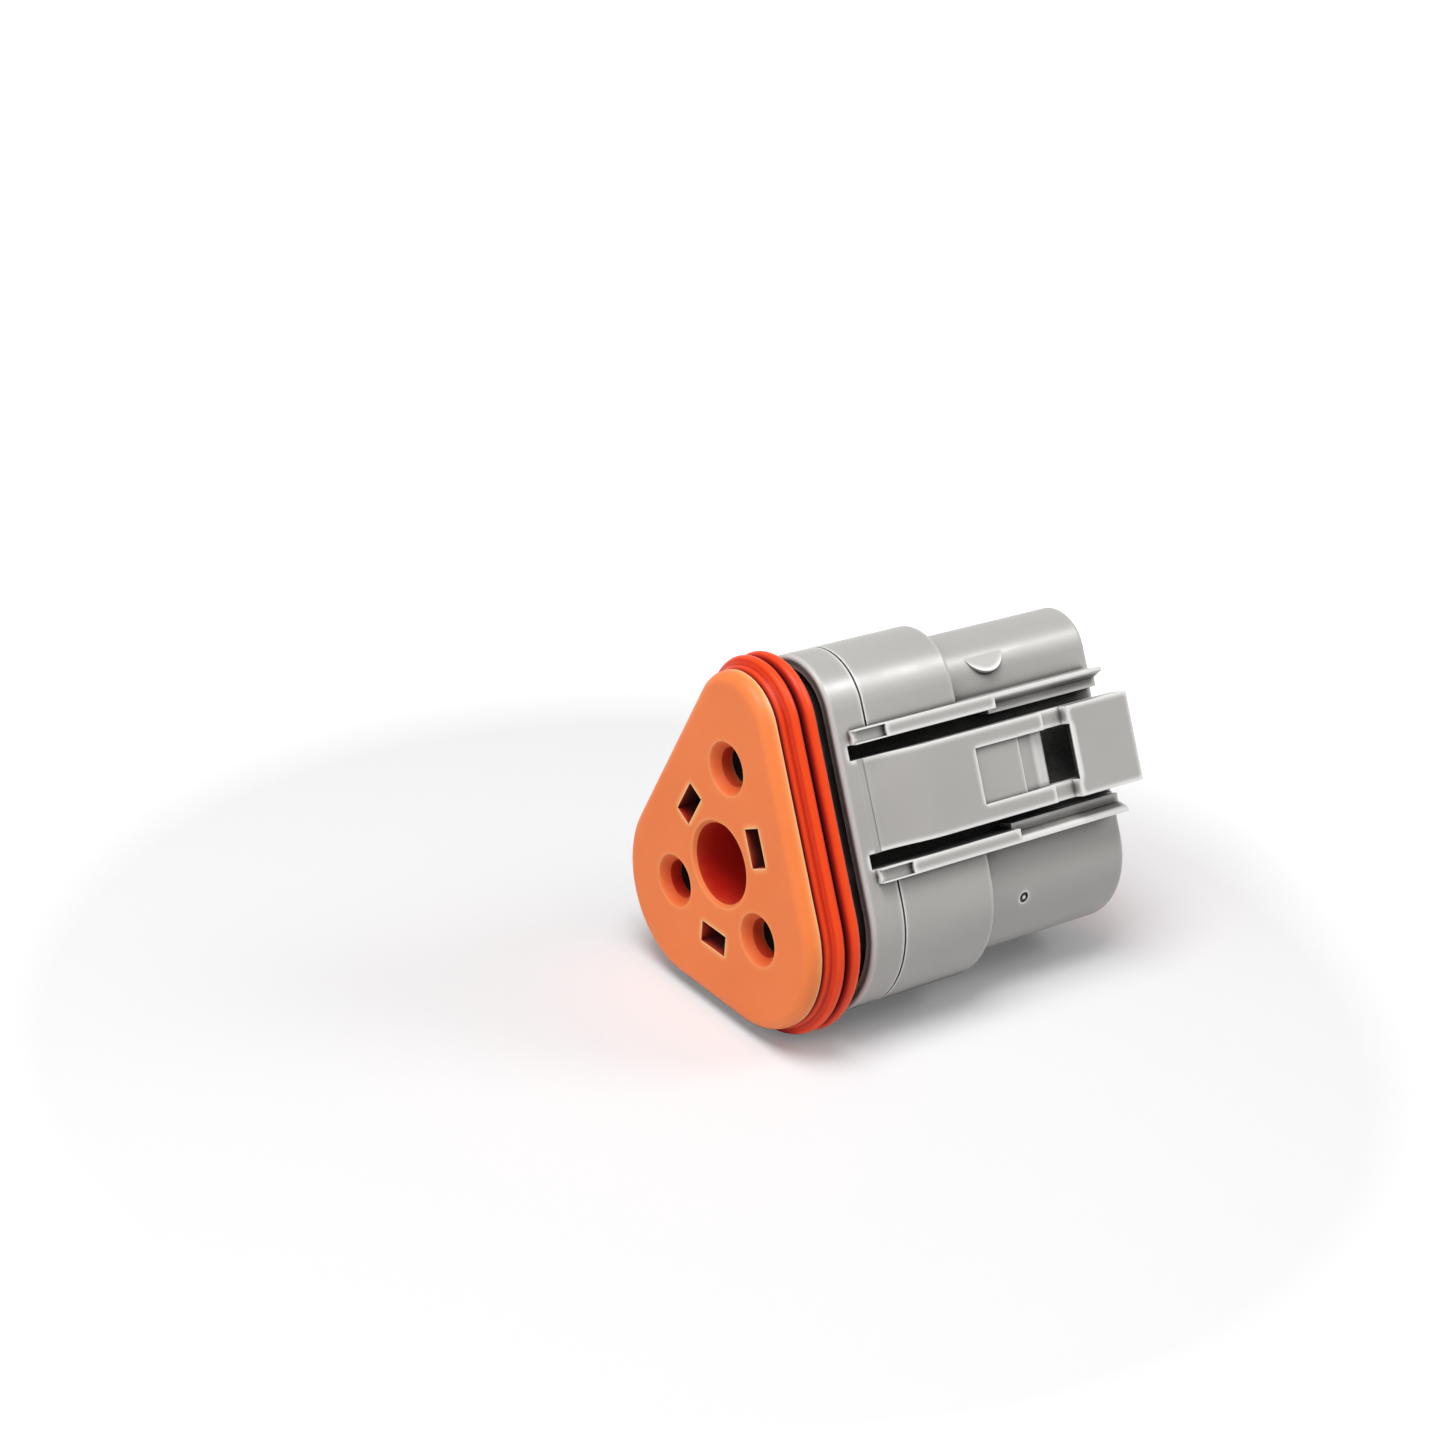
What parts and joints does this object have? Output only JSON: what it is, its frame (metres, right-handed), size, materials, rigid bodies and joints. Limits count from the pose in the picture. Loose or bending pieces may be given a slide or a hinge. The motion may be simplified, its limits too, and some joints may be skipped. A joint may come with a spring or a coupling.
{
  "type": "sealed connector plug",
  "caption": "Sealed automotive plug with a rounded triangular front, push-in wedge lock, ribbed face seal, side latch between guard rails and a rear wire grommet.",
  "frame": {"origin": "centre of the flat mating face, on the connector's axis", "axes": "+Y back along the axis towards the wires, +Z towards the corner with the single contact, +X towards the flank with the latch"},
  "size_m": [0.0242, 0.032, 0.0279],
  "materials": {
    "grey_nylon": "satin moulded",
    "orange_nylon": "satin moulded",
    "red_silicone": "smooth",
    "contact_metal": "nickel plated",
    "sleeve_steel": "bright"
  },
  "bodies": {
    "housing": {"housing": "grey_nylon", "interface_seal": "red_silicone", "wire_grommet": "red_silicone", "socket_contact_top": "contact_metal", "socket_contact_left": "contact_metal", "socket_contact_right": "contact_metal", "contact_sleeve_top": "sleeve_steel", "contact_sleeve_left": "sleeve_steel", "contact_sleeve_right": "sleeve_steel"},
    "latch": {"latch_arm": "grey_nylon"},
    "wedge": {"wedge_lock": "orange_nylon"}
  },
  "joints": [
    {"name": "latch_flex", "type": "hinge", "parent": "housing", "child": "latch", "pos_m": [0.00679, 0.00809, 0.00597], "axis": [-0.4444, 0, 0.8958], "range_deg": [0, 4], "stiffness_Nm_per_rad": 0.6},
    {"name": "wedge_pull", "type": "slide", "parent": "housing", "child": "wedge", "axis": [0, -1, 0], "range_m": [0, 0.014]}
  ]
}
